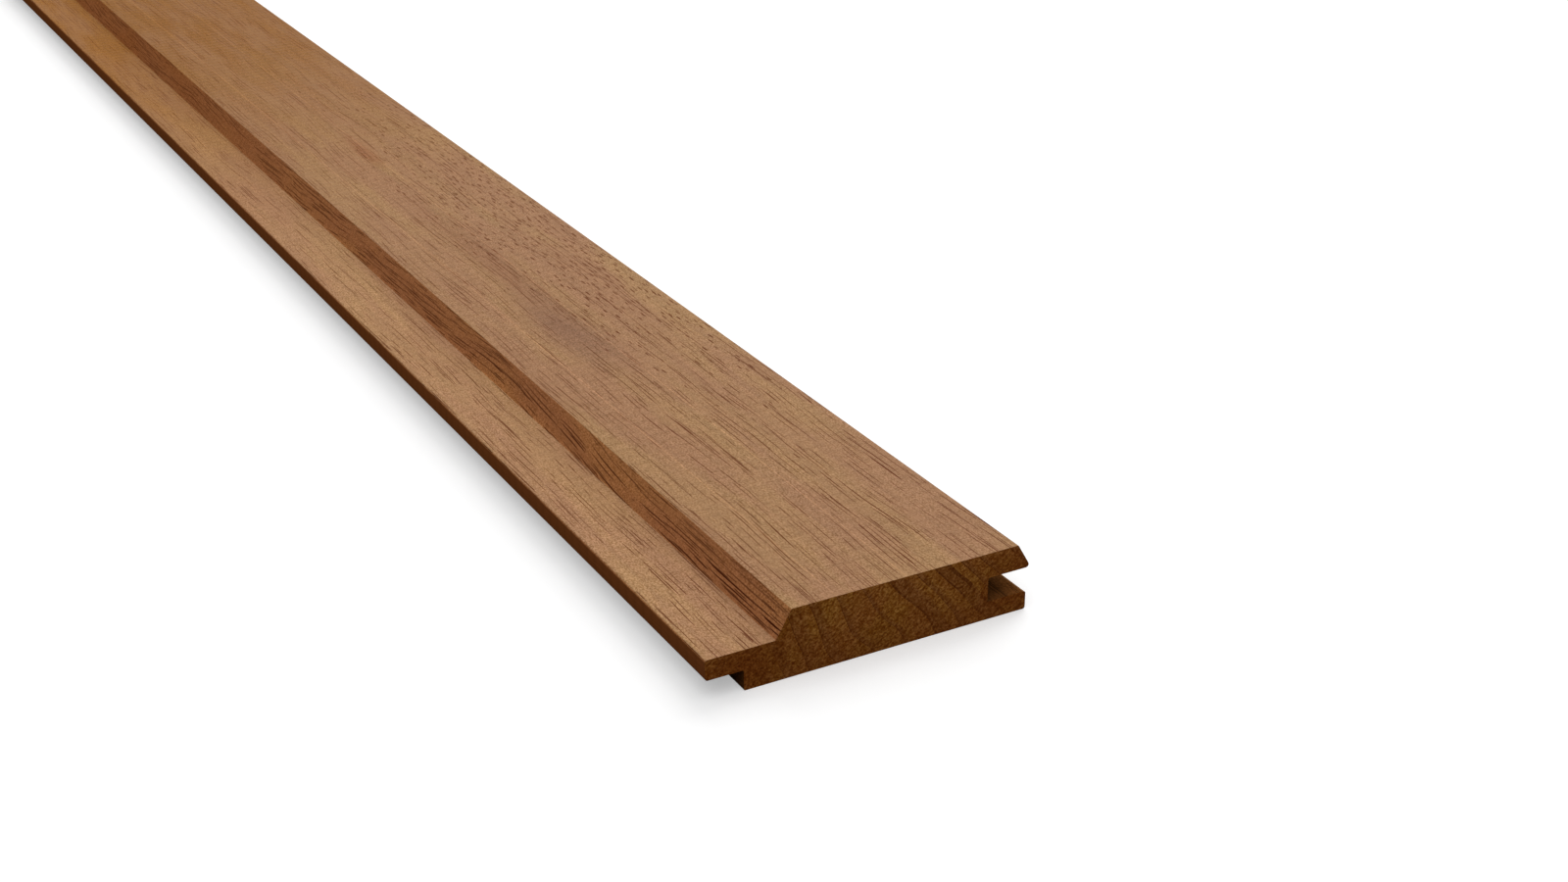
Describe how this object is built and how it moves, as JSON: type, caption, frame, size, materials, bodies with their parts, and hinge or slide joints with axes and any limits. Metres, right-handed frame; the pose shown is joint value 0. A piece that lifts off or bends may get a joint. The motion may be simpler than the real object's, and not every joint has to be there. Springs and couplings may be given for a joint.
{
  "type": "heat-treated wood cladding board",
  "caption": "Long flat wood cladding board with a tongue at the foot of a bevelled channel along one edge and a groove under a bevelled lip along the other, cut square at the ends.",
  "frame": {"origin": "on the back, halfway along the length and halfway across the overall width", "axes": "+Y along the board's length, +X across it from the tongue to the groove, +Z from the back to the weather face"},
  "size_m": [0.098, 1.8, 0.02],
  "materials": {
    "heat_treated_wood": "matte"
  },
  "bodies": {
    "root": {"cladding_board": "heat_treated_wood"}
  },
  "joints": []
}
